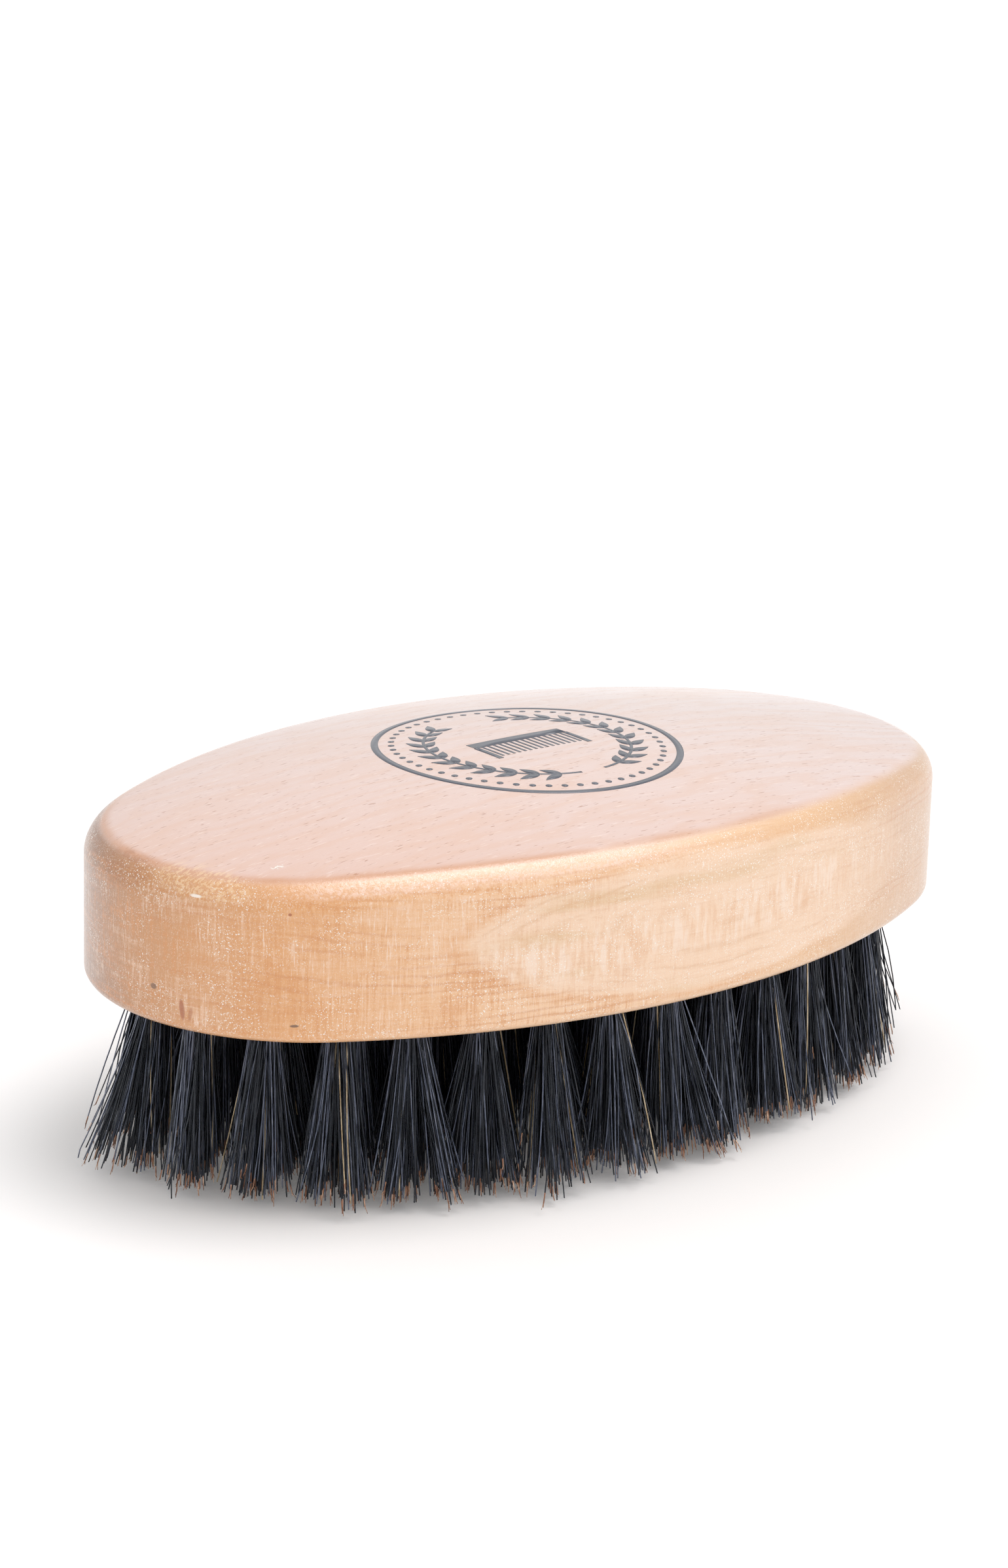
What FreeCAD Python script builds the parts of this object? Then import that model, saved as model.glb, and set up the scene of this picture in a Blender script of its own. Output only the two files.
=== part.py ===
"""Palm-held oval beard brush: a domed wooden back with blind holes, a folded bristle tuft in each hole,
and a wire staple that holds every tuft. Millimetres, +Z up, +X along the brush. The origin lies on the
plane of the bristle tips, under the middle of the back."""

import FreeCAD, Part
import math
import os

import Sketcher
from FreeCAD import Placement, Rotation, Vector

OUT_FOLDER = "parts"
FULL_TURN = 360
DOME_SWEEP = 40
NEAR = 0.01

# Driving dimensions: alias, value, what it is.
DIMENSIONS = [
    ("half_length", 60.0, "half of the back's length"),
    ("half_width", 35.0, "half of the back's width"),
    ("end_radius", 26.5, "radius of the oval's two end arcs"),
    ("back_height", 23.5, "thickness of the back at its middle"),
    ("dome_long_radius", 360.0, "radius of the top along the brush"),
    ("dome_cross_radius", 175.0, "radius of the top across the brush"),
    ("top_round", 4.2, "radius of the top edge"),
    ("bottom_round", 1.4, "radius of the bottom edge"),
    ("bristle_length", 22.0, "bristle showing below the back"),
    ("edge_inset", 7.5, "outer holes' centres in from the edge"),
    ("ring_spacing", 6.75, "distance from one ring of holes to the next"),
    ("hole_radius", 1.75, "radius of a tuft's hole"),
    ("hole_depth", 9.0, "depth of a tuft's hole"),
    ("tuft_radius", 1.7, "radius of the tuft in its hole"),
    ("tip_radius", 2.75, "radius of the tuft at its tips"),
    ("tuft_gap", 0.4, "space above the tuft in its hole"),
    ("fold_taper", 0.9, "taper of the tuft where it folds"),
    ("mouth_radius", 1.6, "radius of the flare where it leaves the hole"),
    ("flare_before", 0.04, "start of the flare inside the tuft's shank, in bristle lengths"),
    ("flare_past", 1.03, "end of the flare before its tips are trimmed, in bristle lengths"),
    ("trim_radius", 10.0, "radius that the trimming of a tuft's tips covers"),
    ("wire_thickness", 0.35, "thickness of the staple's flat wire"),
    ("wire_width", 0.5, "width of the staple's flat wire"),
    ("wire_fit", 0.03, "clearance round the staple's wire in its tuft"),
    ("prick_radius", 0.335, "radius of the hole that a staple's leg makes"),
    ("leg_offset", 1.4, "staple leg's distance from the hole's axis"),
    ("staple_bend", 0.6, "bend radius of the staple's corners"),
    ("crown_drop", 2.6, "staple crown below the hole's blind end"),
    ("leg_bite", 3.2, "length of staple leg in the solid wood"),
    ("outer_lean", 2.6, "how far the outer tufts' tips lean out"),
    ("centre_row_pitch", 8.5, "pitch of the straight middle row"),
    ("blank_spare", 5.0, "wood above the dome that the blank starts with"),
    ("cutter_margin", 10.0, "how far the dome's cutter reaches past the back"),
    ("cutter_height", 15.0, "height of the dome's cutter above the back"),
]

# Rings of tufts from the outside in: name, number of tufts, phase in pitches, share of the outer lean.
RINGS = [
    ("outer", 30, 0.5, 1.0),
    ("second", 26, 0.0, 0.65),
    ("third", 20, 0.5, 0.35),
    ("inner", 16, 0.0, 0.15),
]
CENTRE_ROW = ("centre", 5)
ELLIPSE_STEPS = 7200


def value(alias):
    return next(size for name, size, _ in DIMENSIONS if name == alias)


def make_sheet(doc):
    sheet = doc.addObject("Spreadsheet::Sheet", "dims")
    for row, (alias, size, meaning) in enumerate(DIMENSIONS, start=1):
        sheet.set(f"A{row}", meaning)
        sheet.set(f"B{row}", str(size))
        sheet.setAlias(f"B{row}", alias)
    doc.recompute()
    return sheet


# ---------------------------------------------------------------- layout of the holes


def ellipse_angles(half_long, half_wide, count, phase):
    """Ellipse parameters, in degrees, of count points a constant arc length apart."""
    step = 2 * math.pi / ELLIPSE_STEPS
    lengths = [0.0]
    for i in range(ELLIPSE_STEPS):
        t = (i + 0.5) * step
        lengths.append(lengths[-1] + step * math.hypot(half_long * math.sin(t), half_wide * math.cos(t)))
    angles = []
    i = 0
    for n in range(count):
        wanted = lengths[-1] * (n + phase) / count
        while lengths[i + 1] < wanted:
            i += 1
        angles.append(math.degrees(i * step))
    return angles


class Seat:
    """One tuft's place: its position as expressions and numbers, and the direction that it leans in."""

    def __init__(self, x_text, y_text, x, y, outward):
        self.x_text, self.y_text = x_text, y_text
        self.x, self.y = x, y
        self.outward = outward

    def placement(self):
        return Placement(Vector(self.x, self.y, 0), Rotation(Vector(0, 0, 1), self.outward))


def ring_seats(index, count, phase):
    inset = value("edge_inset") + index * value("ring_spacing")
    inset_text = f"dims.edge_inset - {index} * dims.ring_spacing"
    half_long, half_wide = value("half_length") - inset, value("half_width") - inset
    seats = []
    for angle in ellipse_angles(half_long, half_wide, count, phase):
        c, s = math.cos(math.radians(angle)), math.sin(math.radians(angle))
        seats.append(
            Seat(
                f"(dims.half_length - {inset_text}) * {c:.6f}",
                f"(dims.half_width - {inset_text}) * {s:.6f}",
                half_long * c,
                half_wide * s,
                math.degrees(math.atan2(s / half_wide, c / half_long)),
            )
        )
    return seats


def row_seats(count):
    seats = []
    for n in range(count):
        steps = n - (count - 1) / 2
        x = steps * value("centre_row_pitch")
        seats.append(Seat(f"{steps} * dims.centre_row_pitch", "0 * dims.half_width", x, 0.0, 0.0))
    return seats


def all_rows():
    """Every row of tufts: name, its seats, and its share of the outer lean."""
    rows = [(name, ring_seats(k, count, phase), lean) for k, (name, count, phase, lean) in enumerate(RINGS)]
    name, count = CENTRE_ROW
    rows.append((name, row_seats(count), 0.0))
    return rows


# ---------------------------------------------------------------- sketches


def new_body(doc, name):
    body = doc.addObject("PartDesign::Body", name)
    body.Label = name
    return body


def new_sketch(body, name, role, lift=None):
    """A sketch on one of the body's own origin planes, lifted along its normal by an expression."""
    sketch = body.newObject("Sketcher::SketchObject", name)
    plane = next(f for f in body.Origin.OriginFeatures if f.Role == role)
    sketch.AttachmentSupport = [(plane, "")]
    sketch.MapMode = "FlatFace"
    if lift:
        sketch.setExpression("AttachmentOffset.Base.z", lift)
    return sketch


def bind(sketch, kind, geometry, expression, *size):
    """Adds a constraint of that size and binds it to an expression."""
    index = sketch.addConstraint(Sketcher.Constraint(kind, *geometry, *size))
    sketch.setExpression(f"Constraints[{index}]", expression)
    return index


def centred_circle(sketch, x, y, radius, x_text, y_text, radius_text=None):
    """A circle whose centre is bound to two expressions, and its radius too where one is given."""
    circle = sketch.addGeometry(Part.Circle(Vector(x, y, 0), Vector(0, 0, 1), radius), False)
    bind(sketch, "DistanceX", (-1, 1, circle, 3), x_text, x)
    bind(sketch, "DistanceY", (-1, 1, circle, 3), y_text, y)
    if radius_text:
        bind(sketch, "Radius", (circle,), radius_text, radius)
    return circle


def circle_field(sketch, places, radius, radius_text):
    """Equal circles at a list of (x, y, x_text, y_text)."""
    first = None
    for x, y, x_text, y_text in places:
        if first is None:
            first = centred_circle(sketch, x, y, radius, x_text, y_text, radius_text)
        else:
            circle = centred_circle(sketch, x, y, radius, x_text, y_text)
            sketch.addConstraint(Sketcher.Constraint("Equal", first, circle))


def oval_outline(sketch):
    """Four tangent arcs: two ends of end_radius, and two long sides of the radius that joins them."""
    a, b, r = value("half_length"), value("half_width"), value("end_radius")
    side = ((a - r) ** 2 + b**2 - r**2) / (2 * (b - r))
    side_text = (
        "((dims.half_length - dims.end_radius)^2 + dims.half_width^2 - dims.end_radius^2)"
        " / (2 * (dims.half_width - dims.end_radius))"
    )
    turn = math.atan2(side - b, a - r)
    up = Vector(0, 0, 1)
    ends_and_sides = [
        (Vector(a - r, 0, 0), r, -turn, turn),
        (Vector(0, b - side, 0), side, turn, math.pi - turn),
        (Vector(r - a, 0, 0), r, math.pi - turn, math.pi + turn),
        (Vector(0, side - b, 0), side, math.pi + turn, 2 * math.pi - turn),
    ]
    arcs = [
        sketch.addGeometry(Part.ArcOfCircle(Part.Circle(centre, up, radius), start, stop), False)
        for centre, radius, start, stop in ends_and_sides
    ]
    for k, arc in enumerate(arcs):
        sketch.addConstraint(Sketcher.Constraint("Tangent", arc, 2, arcs[(k + 1) % 4], 1))
    for arc, sign in ((arcs[0], 1), (arcs[2], -1)):
        sketch.addConstraint(Sketcher.Constraint("PointOnObject", arc, 3, -1))
        reach = f"{sign} * (dims.half_length - dims.end_radius)"
        bind(sketch, "DistanceX", (-1, 1, arc, 3), reach, sign * (a - r))
        bind(sketch, "Radius", (arc,), "dims.end_radius", r)
    for arc in (arcs[1], arcs[3]):
        bind(sketch, "Radius", (arc,), side_text, side)


def dome_cutter(sketch):
    """The space above the domed top, in cross-section, and the axis that it is swept round."""
    floor, cross, long = value("bristle_length"), value("dome_cross_radius"), value("dome_long_radius")
    top = floor + value("back_height")
    half = value("half_width") + value("cutter_margin")
    ceiling = top + value("cutter_height")
    drop = cross - math.sqrt(cross**2 - half**2)
    spread = math.asin(half / cross)
    up = Vector(0, 0, 1)
    arc_circle = Part.Circle(Vector(0, top - cross, 0), up, cross)
    arc = sketch.addGeometry(Part.ArcOfCircle(arc_circle, math.pi / 2 - spread, math.pi / 2 + spread), False)
    corners = [
        Vector(-half, top - drop, 0),
        Vector(-half, ceiling, 0),
        Vector(half, ceiling, 0),
        Vector(half, top - drop, 0),
    ]
    sides = [sketch.addGeometry(Part.LineSegment(p, q), False) for p, q in zip(corners, corners[1:])]
    sketch.addConstraint(Sketcher.Constraint("Coincident", arc, 2, sides[0], 1))
    sketch.addConstraint(Sketcher.Constraint("Coincident", sides[0], 2, sides[1], 1))
    sketch.addConstraint(Sketcher.Constraint("Coincident", sides[1], 2, sides[2], 1))
    sketch.addConstraint(Sketcher.Constraint("Coincident", sides[2], 2, arc, 1))
    sketch.addConstraint(Sketcher.Constraint("Vertical", sides[0]))
    sketch.addConstraint(Sketcher.Constraint("Horizontal", sides[1]))
    sketch.addConstraint(Sketcher.Constraint("Vertical", sides[2]))
    sketch.addConstraint(Sketcher.Constraint("PointOnObject", arc, 3, -2))
    bind(sketch, "Radius", (arc,), "dims.dome_cross_radius", cross)
    rise = "dims.bristle_length + dims.back_height"
    bind(sketch, "DistanceY", (-1, 1, arc, 3), f"{rise} - dims.dome_cross_radius", top - cross)
    reach = "(dims.half_width + dims.cutter_margin)"
    bind(sketch, "DistanceX", (-1, 1, sides[0], 1), f"-1 * {reach}", -half)
    bind(sketch, "DistanceX", (-1, 1, sides[2], 1), reach, half)
    bind(sketch, "DistanceY", (-1, 1, sides[1], 1), f"{rise} + dims.cutter_height", ceiling)
    axis_height = top - long
    axis_line = Part.LineSegment(Vector(-half, axis_height, 0), Vector(half, axis_height, 0))
    axis = sketch.addGeometry(axis_line, True)
    sketch.addConstraint(Sketcher.Constraint("Horizontal", axis))
    bind(sketch, "DistanceX", (-1, 1, axis, 1), f"-1 * {reach}", -half)
    bind(sketch, "DistanceX", (-1, 1, axis, 2), reach, half)
    bind(sketch, "DistanceY", (-1, 1, axis, 1), f"{rise} - dims.dome_long_radius", axis_height)


# ---------------------------------------------------------------- the back


def edge_names(shape, test):
    return [f"Edge{i}" for i, edge in enumerate(shape.Edges, start=1) if test(edge.BoundBox)]


def add_fillet(body, base, name, radius_text, test):
    fillet = body.newObject("PartDesign::Fillet", name)
    fillet.Base = (base, edge_names(base.Shape, test))
    fillet.setExpression("Radius", radius_text)
    body.Document.recompute()
    return fillet


def add_pocket(body, sketch, name, depth_text):
    """A pocket upwards from the sketch, which has to remove material."""
    before = body.Shape.Volume
    pocket = body.newObject("PartDesign::Pocket", name)
    pocket.Profile = sketch
    pocket.Reversed = True
    pocket.setExpression("Length", depth_text)
    body.Document.recompute()
    if body.Shape.Volume > before - 1e-3:
        raise RuntimeError(f"{name} removed nothing")
    return pocket


def drill_row(body, name, seats):
    """One row's blind holes, and the two pricks above each that its staple's legs make."""
    sketch = new_sketch(body, f"{name}_holes", "XY_Plane", "dims.bristle_length")
    holes = [(s.x, s.y, s.x_text, s.y_text) for s in seats]
    circle_field(sketch, holes, value("hole_radius"), "dims.hole_radius")
    add_pocket(body, sketch, f"{name}_drilling", "dims.hole_depth")
    pricks = []
    for s in seats:
        for side in (-1, 1):
            across = math.radians(s.outward + side * 90)
            c, n = math.cos(across), math.sin(across)
            x, y = s.x + value("leg_offset") * c, s.y + value("leg_offset") * n
            x_text = f"{s.x_text} + dims.leg_offset * {c:.6f}"
            y_text = f"{s.y_text} + dims.leg_offset * {n:.6f}"
            pricks.append((x, y, x_text, y_text))
    sketch = new_sketch(body, f"{name}_pricks", "XY_Plane", "dims.bristle_length")
    circle_field(sketch, pricks, value("prick_radius"), "dims.prick_radius")
    add_pocket(body, sketch, f"{name}_pricking", "dims.hole_depth + dims.leg_bite + dims.wire_fit")


def make_back(doc, rows):
    body = new_body(doc, "brush_back")
    outline = new_sketch(body, "oval", "XY_Plane", "dims.bristle_length")
    oval_outline(outline)
    pad = body.newObject("PartDesign::Pad", "blank")
    pad.Profile = outline
    pad.setExpression("Length", "dims.back_height + dims.blank_spare")
    section = new_sketch(body, "dome_section", "YZ_Plane")
    dome_cutter(section)
    doc.recompute()
    dome = body.newObject("PartDesign::Groove", "dome")
    dome.Profile = section
    dome.ReferenceAxis = (section, ["Axis0"])
    dome.Angle = DOME_SWEEP
    dome.Midplane = True
    doc.recompute()
    floor = value("bristle_length")
    middle = floor + value("back_height") / 2
    top = add_fillet(body, dome, "top_edge", "dims.top_round", lambda box: box.ZMin > middle)
    add_fillet(body, top, "bottom_edge", "dims.bottom_round", lambda box: box.ZMax < floor + NEAR)
    for name, seats, _ in rows:
        drill_row(body, name, seats)
    return body


# ---------------------------------------------------------------- staple and tufts


def staple_path(body, name):
    """The staple's centre line: a crown with a leg up at each end, in the body's YZ plane."""
    sketch = new_sketch(body, name, "YZ_Plane")
    blind_end = value("bristle_length") + value("hole_depth")
    crown, tip = blind_end - value("crown_drop"), blind_end + value("leg_bite")
    leg, bend = value("leg_offset"), value("staple_bend")
    up = Vector(0, 0, 1)
    left = sketch.addGeometry(Part.LineSegment(Vector(-leg, tip, 0), Vector(-leg, crown + bend, 0)), False)
    left_bend = Part.Circle(Vector(bend - leg, crown + bend, 0), up, bend)
    left_arc = sketch.addGeometry(Part.ArcOfCircle(left_bend, math.pi, 1.5 * math.pi), False)
    across = sketch.addGeometry(
        Part.LineSegment(Vector(bend - leg, crown, 0), Vector(leg - bend, crown, 0)), False
    )
    right_bend = Part.Circle(Vector(leg - bend, crown + bend, 0), up, bend)
    right_arc = sketch.addGeometry(Part.ArcOfCircle(right_bend, 1.5 * math.pi, 2 * math.pi), False)
    right = sketch.addGeometry(Part.LineSegment(Vector(leg, crown + bend, 0), Vector(leg, tip, 0)), False)
    path = [left, left_arc, across, right_arc, right]
    for first, second in zip(path, path[1:]):
        sketch.addConstraint(Sketcher.Constraint("Tangent", first, 2, second, 1))
    for line in (left, right):
        sketch.addConstraint(Sketcher.Constraint("Vertical", line))
    height = "dims.bristle_length + dims.hole_depth"
    bind(sketch, "Radius", (left_arc,), "dims.staple_bend", bend)
    bind(sketch, "Radius", (right_arc,), "dims.staple_bend", bend)
    bind(sketch, "DistanceX", (-1, 1, left, 1), "-dims.leg_offset", -leg)
    bind(sketch, "DistanceX", (-1, 1, right, 2), "dims.leg_offset", leg)
    bind(sketch, "DistanceY", (-1, 1, left, 1), f"{height} + dims.leg_bite", tip)
    bind(sketch, "DistanceY", (-1, 1, right, 2), f"{height} + dims.leg_bite", tip)
    bind(sketch, "DistanceY", (-1, 1, across, 1), f"{height} - dims.crown_drop", crown)
    return sketch


def chain(sketch, points):
    """A closed outline of straight lines through the points."""
    corners = [Vector(x, y, 0) for x, y in points]
    lines = [
        sketch.addGeometry(Part.LineSegment(p, q), False) for p, q in zip(corners, corners[1:] + corners[:1])
    ]
    for k, line in enumerate(lines):
        sketch.addConstraint(Sketcher.Constraint("Coincident", line, 2, lines[(k + 1) % len(lines)], 1))
    return lines


def wire_section(body, name, fit):
    """The flat wire's rectangular section at the tip of one leg, larger all round by that many wire_fits."""
    lift = "dims.bristle_length + dims.hole_depth + dims.leg_bite"
    sketch = new_sketch(body, name, "XY_Plane", lift)
    leg, grow = value("leg_offset"), fit * value("wire_fit")
    x, y = value("wire_width") / 2 + grow, value("wire_thickness") / 2 + grow
    lines = chain(sketch, [(-x, -leg - y), (x, -leg - y), (x, -leg + y), (-x, -leg + y)])
    for line, kind in zip(lines, ("Horizontal", "Vertical", "Horizontal", "Vertical")):
        sketch.addConstraint(Sketcher.Constraint(kind, line))
    x_text = f"(dims.wire_width / 2 + {fit} * dims.wire_fit)"
    y_text = f"(dims.wire_thickness / 2 + {fit} * dims.wire_fit)"
    bind(sketch, "DistanceX", (-1, 1, lines[0], 1), f"-1 * {x_text}", -x)
    bind(sketch, "DistanceX", (-1, 1, lines[2], 1), x_text, x)
    bind(sketch, "DistanceY", (-1, 1, lines[0], 1), f"-dims.leg_offset - {y_text}", -leg - y)
    bind(sketch, "DistanceY", (-1, 1, lines[2], 1), f"-dims.leg_offset + {y_text}", -leg + y)
    return sketch


def sweep_wire(body, name, kind, fit):
    """The flat wire's section swept along the staple's line, added to the body or cut from it."""
    path = staple_path(body, f"{name}_line")
    section = wire_section(body, f"{name}_section", fit)
    body.Document.recompute()
    wire = body.newObject(kind, name)
    wire.Profile = section
    wire.Spine = path
    body.Document.recompute()
    return wire


def make_staple_form(doc):
    """The staple that every staple node repeats."""
    body = new_body(doc, "staple_form")
    sweep_wire(body, "staple_wire", "PartDesign::AdditivePipe", 0)
    return body


def flare_profile(sketch, lean):
    """Half of the flared bristles' section, whose first line is the axis that leans outwards.

    The flare starts inside the tuft's shank, and goes on past the tips' plane, where it is trimmed.
    """
    reach, spread = value("bristle_length"), value("outer_lean") * lean
    before, past = value("flare_before"), value("flare_past")
    grow = value("tip_radius") - value("mouth_radius")
    start, end = value("mouth_radius") - grow * before, value("mouth_radius") + grow * past
    run = math.hypot(reach, spread)
    nx, nz = reach / run, spread / run
    start_x, start_z = -spread * before, reach * (1 + before)
    end_x, end_z = spread * past, reach * (1 - past)
    far_end = (end_x + end * nx, end_z + end * nz)
    far_start = (start_x + start * nx, start_z + start * nz)
    lines = chain(sketch, [(start_x, start_z), (end_x, end_z), far_end, far_start])
    axis, end_line, start_line = lines[0], lines[1], lines[3]
    sketch.addConstraint(Sketcher.Constraint("Perpendicular", axis, end_line))
    sketch.addConstraint(Sketcher.Constraint("Perpendicular", axis, start_line))
    reach_text, spread_text = "dims.bristle_length", f"dims.outer_lean * {lean}"
    grow_text = "(dims.tip_radius - dims.mouth_radius)"
    bind(sketch, "DistanceX", (-1, 1, axis, 1), f"-1 * {spread_text} * dims.flare_before", start_x)
    bind(sketch, "DistanceY", (-1, 1, axis, 1), f"{reach_text} * (1 + dims.flare_before)", start_z)
    bind(sketch, "DistanceX", (-1, 1, axis, 2), f"{spread_text} * dims.flare_past", end_x)
    bind(sketch, "DistanceY", (-1, 1, axis, 2), f"{reach_text} * (1 - dims.flare_past)", end_z)
    bind(sketch, "Distance", (end_line,), f"dims.mouth_radius + {grow_text} * dims.flare_past", end)
    bind(sketch, "Distance", (start_line,), f"dims.mouth_radius - {grow_text} * dims.flare_before", start)


def make_tuft_form(doc, row, lean):
    """The tuft that one row repeats: folded in its hole, and flared and leaning outwards below the back."""
    body = new_body(doc, f"{row}_tuft_form")
    root = new_sketch(body, f"{row}_root", "XY_Plane", "dims.bristle_length")
    zero = "0 * dims.tuft_radius"
    centred_circle(root, 0.0, 0.0, value("tuft_radius"), zero, zero, "dims.tuft_radius")
    shank = body.newObject("PartDesign::Pad", f"{row}_shank")
    shank.Profile = root
    shank.setExpression("Length", "dims.hole_depth - dims.tuft_gap")
    doc.recompute()
    top = value("bristle_length") + value("hole_depth") - value("tuft_gap")
    fold = body.newObject("PartDesign::Chamfer", f"{row}_fold")
    fold.Base = (shank, edge_names(shank.Shape, lambda box: box.ZMin > top - NEAR))
    fold.setExpression("Size", "dims.fold_taper")
    profile = new_sketch(body, f"{row}_flare_profile", "XZ_Plane")
    flare_profile(profile, lean)
    doc.recompute()
    flare = body.newObject("PartDesign::Revolution", f"{row}_flare")
    flare.Profile = profile
    flare.ReferenceAxis = (profile, ["Edge1"])
    flare.Angle = FULL_TURN
    doc.recompute()
    tips = new_sketch(body, f"{row}_tips", "XY_Plane")
    centred_circle(tips, 0.0, 0.0, value("trim_radius"), zero, zero, "dims.trim_radius")
    trim = body.newObject("PartDesign::Pocket", f"{row}_trim")
    trim.Profile = tips
    trim.setExpression("Length", "dims.bristle_length")
    sweep_wire(body, f"{row}_groove", "PartDesign::SubtractivePipe", 1)
    if abs(body.Shape.optimalBoundingBox().ZMin) > NEAR:
        raise RuntimeError(f"{row} tufts don't end on the tips' plane")
    return body


def place_copies(doc, name, form, seats):
    """A node that repeats a form's solid at the seats. One seat gives one solid, several give a group."""
    feature = doc.addObject("Part::Feature", name)
    feature.Label = name
    solid = form.Shape.Solids[0]
    if len(seats) == 1:
        feature.Shape = solid.copy()
        feature.Placement = seats[0].placement()
        return feature
    copies = []
    for seat in seats:
        copy = solid.copy()
        copy.Placement = seat.placement().multiply(copy.Placement)
        copies.append(copy)
    feature.Shape = Part.makeCompound(copies)
    return feature


# ---------------------------------------------------------------- document, checks and export


def check(doc, nodes):
    for thing in doc.Objects:
        bad = {"Invalid", "Error"} & set(thing.State)
        if bad:
            raise RuntimeError(f"{thing.Name} is {sorted(bad)}")
    for node in nodes:
        shape = node.Shape
        if shape.isNull() or not shape.isValid() or not shape.Solids:
            raise RuntimeError(f"{node.Label} has no valid solid")


def build(doc):
    rows = all_rows()
    make_sheet(doc)
    nodes = [make_back(doc, rows)]
    staple = make_staple_form(doc)
    for name, seats, lean in rows:
        form = make_tuft_form(doc, name, lean)
        if name == RINGS[0][0]:
            for number, seat in enumerate(seats, start=1):
                nodes.append(place_copies(doc, f"tuft_{name}_{number:02d}", form, [seat]))
        else:
            nodes.append(place_copies(doc, f"tufts_{name}", form, seats))
        nodes.append(place_copies(doc, f"staples_{name}", staple, seats))
    doc.recompute()
    check(doc, nodes)
    return nodes


def main():
    doc = FreeCAD.newDocument("beard_brush")
    nodes = build(doc)
    os.makedirs(OUT_FOLDER, exist_ok=True)
    for node in nodes:
        node.Shape.exportStep(os.path.join(OUT_FOLDER, f"{node.Label}.step"))
        box = node.Shape.optimalBoundingBox()
        solids, volume = len(node.Shape.Solids), node.Shape.Volume
        print(f"{node.Label}: {solids} solids, {volume:.1f} mm3, {box.ZMin:.2f} to {box.ZMax:.2f} mm")


main()
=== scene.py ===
import math

import bpy
import numpy as np
from mathutils import Matrix, Vector


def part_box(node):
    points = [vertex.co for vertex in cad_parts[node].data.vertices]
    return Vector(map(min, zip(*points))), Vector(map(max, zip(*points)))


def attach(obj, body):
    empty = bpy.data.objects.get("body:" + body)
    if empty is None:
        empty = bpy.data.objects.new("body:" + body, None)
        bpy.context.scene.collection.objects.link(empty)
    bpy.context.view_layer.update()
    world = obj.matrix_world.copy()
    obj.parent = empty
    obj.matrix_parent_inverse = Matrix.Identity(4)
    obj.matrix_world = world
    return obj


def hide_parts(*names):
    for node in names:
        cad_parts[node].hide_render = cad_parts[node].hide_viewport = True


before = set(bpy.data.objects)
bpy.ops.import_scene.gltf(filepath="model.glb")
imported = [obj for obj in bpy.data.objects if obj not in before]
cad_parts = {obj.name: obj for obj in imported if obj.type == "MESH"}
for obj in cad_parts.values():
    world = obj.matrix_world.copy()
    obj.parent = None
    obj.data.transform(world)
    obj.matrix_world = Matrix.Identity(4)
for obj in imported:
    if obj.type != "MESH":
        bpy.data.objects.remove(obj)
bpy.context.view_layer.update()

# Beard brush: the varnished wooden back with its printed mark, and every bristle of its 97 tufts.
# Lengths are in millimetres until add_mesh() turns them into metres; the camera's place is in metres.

MM = 0.001
BACK = "brush_back"
back_low, back_high = (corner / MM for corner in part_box(BACK))

# The wooden back: an oval of four arcs, with a domed top and rounded edges.
HALF_LONG, HALF_WIDE = back_high.x, back_high.y
END_RADIUS = 26.5
SIDE_RADIUS = ((HALF_LONG - END_RADIUS) ** 2 + HALF_WIDE**2 - END_RADIUS**2) / (
    2 * (HALF_WIDE - END_RADIUS)
)
UNDERSIDE, TOP = back_low.z, back_high.z
DOME_LONG, DOME_CROSS = 360.0, 175.0
TOP_ROUND, BOTTOM_ROUND = 4.2, 1.4
HOLE_RADIUS, HOLE_DEPTH, HOLE_SIDES = 1.75, 9.0, 28
OUTLINE_POINTS = 400
BOTTOM_RINGS, WALL_RINGS, SHOULDER_RINGS, DOME_RINGS = 6, 8, 12, 26
SHARP_ANGLE = 32

# The tufts: ring name, number of tufts, phase, share of the outward lean, hairs in each tuft.
TUFT_RINGS = [
    ("outer", 30, 0.5, 1.0, 185),
    ("second", 26, 0.0, 0.65, 150),
    ("third", 20, 0.5, 0.35, 110),
    ("inner", 16, 0.0, 0.15, 110),
]
# The middle row: its name, number of tufts, pitch and hairs in each tuft.
CENTRE_ROW = ("centre", 5, 8.5, 110)
EDGE_INSET, RING_SPACING = 7.5, 6.75

# One tuft: its hairs start inside the hole, gather in clumps and flare out below the wood.
ROOT_Z = UNDERSIDE + 1.9
ROOT_SPREAD = 1.62
CLUMPS, CLUMP_REACH, CLUMP_GATHER = 7, 0.92, (0.15, 0.55)
FLARE, FLARE_CHANGE, OUTER_FLARE = 1.58, 0.22, 0.20
OUTER_LEAN, LEAN_SHARES = 2.6, (0.5, 0.95)
TUFT_DRIFT, CLUMP_DRIFT, HAIR_DRIFT = 0.62, 0.80, 0.95
STRAY_SHARE, STRAY_DRIFT, STRAY_LEAN = 0.045, 1.3, 1.2
BOW, STRAY_BOW, WAVER = 0.26, 3.0, 0.35
SPREAD_PAST_BACK = 1.0

# How high the hairs end above the surface that the brush stands on.
LOWEST_TIP, TALLEST_TIP = 0.15, 9.0
TUFT_RISE, CLUMP_RISE, CLUMP_RIM_RISE = 0.5, 0.55, 0.75
SHORT_SHARE, SHORTENED = 0.06, (1.5, 6.0)

# One bristle.
HAIR_RADIUS, HAIR_TAPER = 0.112, 0.82
HAIR_RINGS, HAIR_SIDES = 8, 3
# Nearly a third of the hairs are pale blue-grey: painted sheen, standing in for the highlights on black
# bristles.
SHEEN_HAIR_FROM, PALE_BELOW, SPLIT_SHARE = 0.69, 0.016, 0.30
SPLIT_RADII, SPLIT_LENGTHS = (0.6, 0.35), (0.25, 0.8)
SPLIT_OVERLAP, SPLIT_SPREAD = 0.1, 0.12
LOWEST_END, LEAST_DROP = 0.02, 0.05
BLACK, SHEEN_HAIR, PALE, SPLIT_TIP = range(4)

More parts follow.
